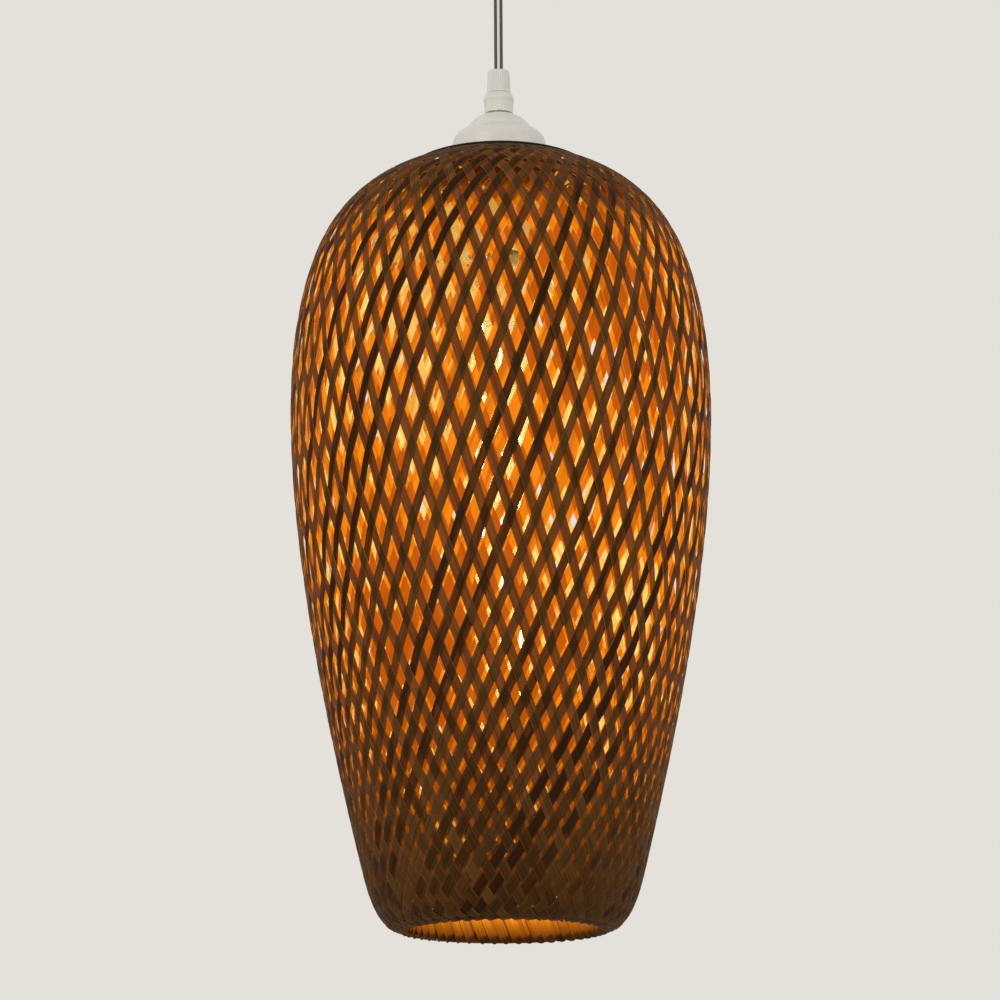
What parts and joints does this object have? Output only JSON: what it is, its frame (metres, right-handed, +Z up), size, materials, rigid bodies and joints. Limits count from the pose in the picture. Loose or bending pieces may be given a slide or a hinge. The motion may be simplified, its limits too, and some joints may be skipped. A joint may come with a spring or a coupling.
{
  "type": "woven bamboo pendant lamp",
  "caption": "Vase-shaped pendant shade woven from bamboo strips, open at the bottom, with a lampholder, cord grip, cord, ceiling cup and a long tubular filament bulb.",
  "frame": {"origin": "centre of the ceiling cup's top, in the plane where it meets the ceiling", "axes": "+Z up along the lamp's axis, X along the mounting bar, -Y towards the camera of the picture"},
  "size_m": [0.2114, 0.2114, 0.5301],
  "materials": {
    "white_plastic": "satin moulded",
    "zinc_steel": "zinc plated",
    "clear_nylon": "natural",
    "cord_jacket": "clear jacket over two dark strands",
    "wire_insulation": "satin",
    "carrier_plastic": "satin moulded",
    "brass": "bare",
    "plate_paint": "satin",
    "bamboo_right": "stained, satin lacquer",
    "bamboo_left": "stained, satin lacquer",
    "bamboo_band": "stained, satin lacquer",
    "bamboo_liner": "stained, satin lacquer",
    "bulb_glass": "clear",
    "cap_metal": "nickel plated",
    "black_glass": "glossy",
    "solder": "soft solder",
    "filament": "glowing"
  },
  "bodies": {
    "ceiling": {"ceiling_cup": "white_plastic", "mounting_bar": "zinc_steel", "cup_studs": "zinc_steel", "cup_nuts": "zinc_steel", "terminal_block": "clear_nylon", "terminal_block_screws": "zinc_steel", "outlet_bush": "white_plastic", "outlet_clamp_screw": "clear_nylon", "outlet_nut": "white_plastic", "cord_in_cup": "cord_jacket", "cup_wires": "wire_insulation"},
    "outlet_pivot": {"cord_bend": "cord_jacket"},
    "cord": {"power_cord": "cord_jacket"},
    "lamp": {"grip_sleeve": "white_plastic", "grip_collar": "white_plastic", "grip_jaw": "clear_nylon", "nipple": "zinc_steel", "nipple_nut": "zinc_steel", "cord_tail": "cord_jacket", "holder_wires": "wire_insulation", "holder_cap": "white_plastic", "holder_body": "white_plastic", "contact_carrier": "carrier_plastic", "screw_shell": "brass", "centre_contact": "brass", "side_contact": "brass", "holder_terminal_screws": "zinc_steel", "shade_ring": "white_plastic", "shade_plate": "plate_paint", "crown_hoop": "bamboo_band", "crown_binding": "bamboo_band", "right_strips": "bamboo_right", "left_strips": "bamboo_left", "inner_liner": "bamboo_liner", "rim_hoop": "bamboo_band"},
    "bulb_tip": {"bulb_tip_contact": "solder"},
    "bulb": {"bulb_glass": "bulb_glass", "bulb_cap_shell": "cap_metal", "bulb_insulator": "black_glass", "glass_stem": "bulb_glass", "support_wires": "cap_metal", "filaments": "filament"}
  },
  "joints": [
    {"name": "swing_side", "type": "hinge", "parent": "ceiling", "child": "outlet_pivot", "pos_m": [0, 0, -0.039], "axis": [0, 1, 0], "range_deg": [-20, 20]},
    {"name": "swing_fore", "type": "hinge", "parent": "outlet_pivot", "child": "cord", "pos_m": [0, 0, -0.039], "axis": [1, 0, 0], "range_deg": [-20, 20]},
    {"name": "lamp_twist", "type": "hinge", "parent": "cord", "child": "lamp", "pos_m": [0, 0, -0.09], "axis": [0, 0, 1], "range_deg": [-120, 120]},
    {"name": "bulb_lower", "type": "slide", "parent": "lamp", "child": "bulb_tip", "axis": [0, 0, -1], "range_m": [0, 0.0108]},
    {"name": "bulb_turn", "type": "hinge", "parent": "bulb_tip", "child": "bulb", "pos_m": [0, 0, -0.16], "axis": [0, 0, -1], "range_deg": [0, 1080]}
  ],
  "couplings": [
    {"joint": "bulb_turn", "follows": "bulb_lower", "rad_per_m": 1731.3}
  ]
}
